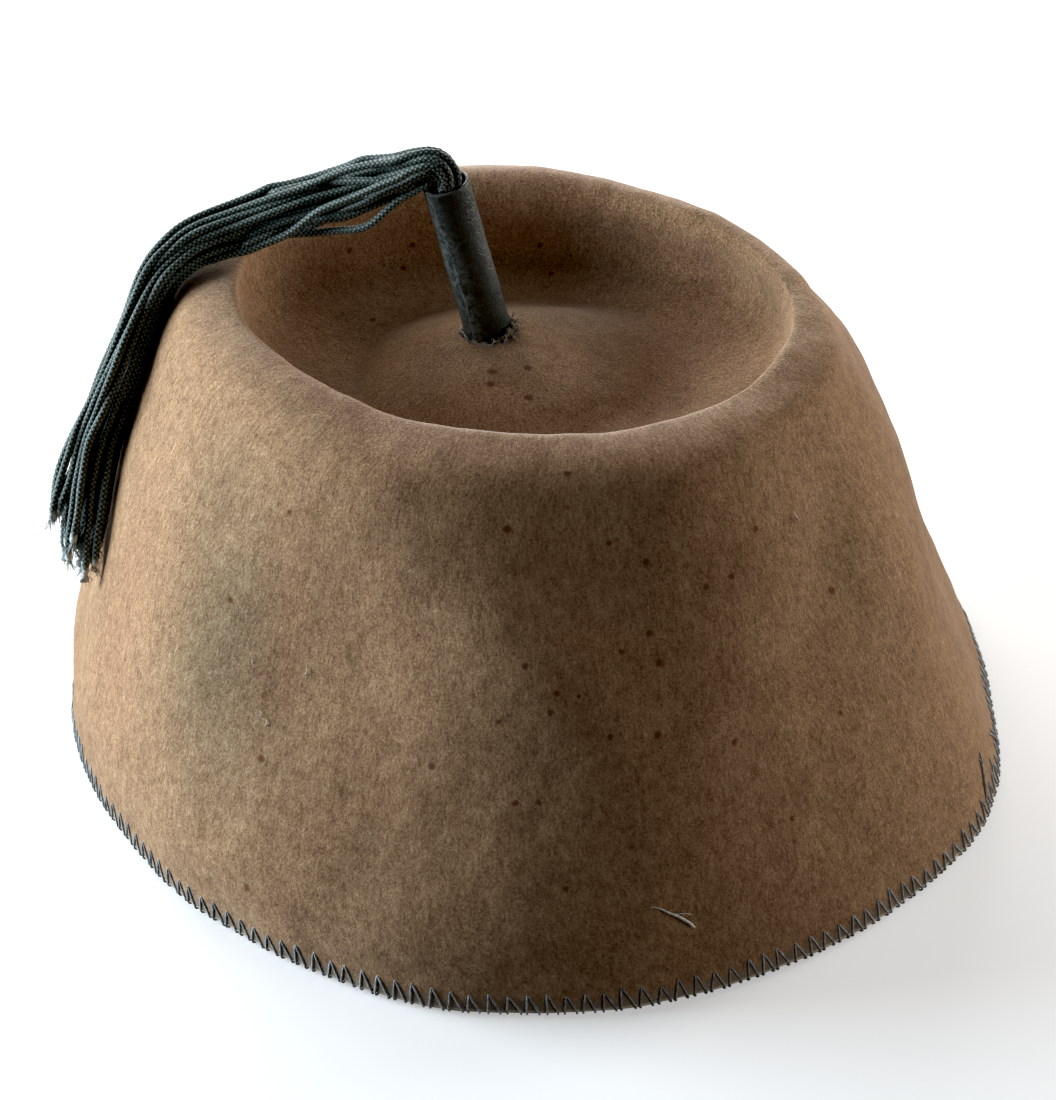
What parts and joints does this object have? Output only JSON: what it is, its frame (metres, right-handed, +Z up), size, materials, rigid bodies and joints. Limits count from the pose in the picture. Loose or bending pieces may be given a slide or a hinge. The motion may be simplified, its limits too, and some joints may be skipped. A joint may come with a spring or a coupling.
{
  "type": "fez hat",
  "caption": "Soft flared felt fez with a dished crown, a leather tube standing in the dish and a cord tassel falling over one side.",
  "frame": {"origin": "middle of the whole hat's box in X and Y, at the height of the rim's cut edge", "axes": "+Z up through the crown, +Y from the front to the back of the hat, +X to the side away from the tassel"},
  "size_m": [0.1876, 0.2072, 0.1183],
  "materials": {
    "felt": "matte, short nap",
    "tube_leather": "satin",
    "cord": "braided, matte"
  },
  "bodies": {
    "root": {"felt_body": "felt", "stem": "tube_leather", "tassel": "cord", "tassel_core": "cord"}
  },
  "joints": []
}
